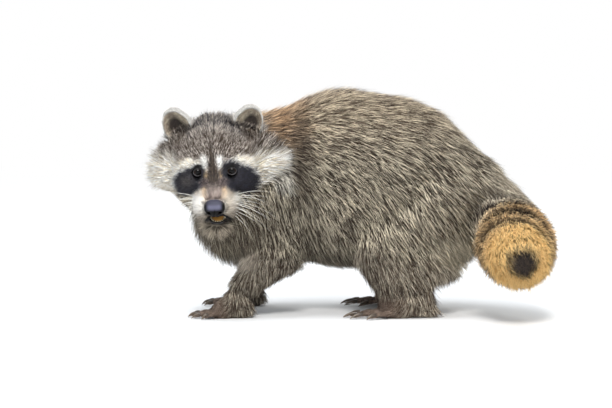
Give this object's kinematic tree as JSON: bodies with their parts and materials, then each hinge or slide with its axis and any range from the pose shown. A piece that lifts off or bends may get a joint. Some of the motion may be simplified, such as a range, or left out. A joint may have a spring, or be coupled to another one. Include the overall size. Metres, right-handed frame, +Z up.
{
  "type": "raccoon model",
  "caption": "Life-size still model of a standing raccoon, head turned to its left with the mouth a little open, thick ringed tail swung to the same side.",
  "frame": {"origin": "on the floor, under the middle of the bounding box", "axes": "-X where the chest points, -Y the raccoon's left, where the face and the tail's tip point, +Z up"},
  "size_m": [0.5256, 0.3092, 0.3006],
  "materials": {
    "body_coat": "long grizzled grey-brown guard hair over dark underfur",
    "head_coat": "short grizzled hair, white and black in the mask",
    "ear_coat": "short pale hair with a white rim",
    "leg_coat": "short brown-grey hair",
    "tail_coat": "dense ochre hair with dark rings",
    "tail_tip_coat": "dense black hair",
    "paw_skin": "thin-haired skin with bare soles and dark horn claws",
    "nose_skin": "moist bare skin",
    "mouth_skin": "moist lip and tongue with pale teeth",
    "eye_gloss": "wet and clear"
  },
  "bodies": {
    "root": {"trunk": "body_coat", "neck": "body_coat", "upper_arm_left": "body_coat", "upper_arm_right": "body_coat", "thigh_left": "body_coat", "thigh_right": "body_coat", "tail_root": "body_coat", "head": "head_coat", "jaw": "head_coat", "ear_left": "ear_coat", "ear_right": "ear_coat", "forearm_left": "leg_coat", "forearm_right": "leg_coat", "shank_left": "leg_coat", "shank_right": "leg_coat", "tail_middle": "tail_coat", "tail_tip": "tail_tip_coat", "fore_paw_left": "paw_skin", "fore_paw_right": "paw_skin", "hind_paw_left": "paw_skin", "hind_paw_right": "paw_skin", "nose": "nose_skin", "mouth": "mouth_skin", "eye_left": "eye_gloss", "eye_right": "eye_gloss"}
  },
  "joints": []
}
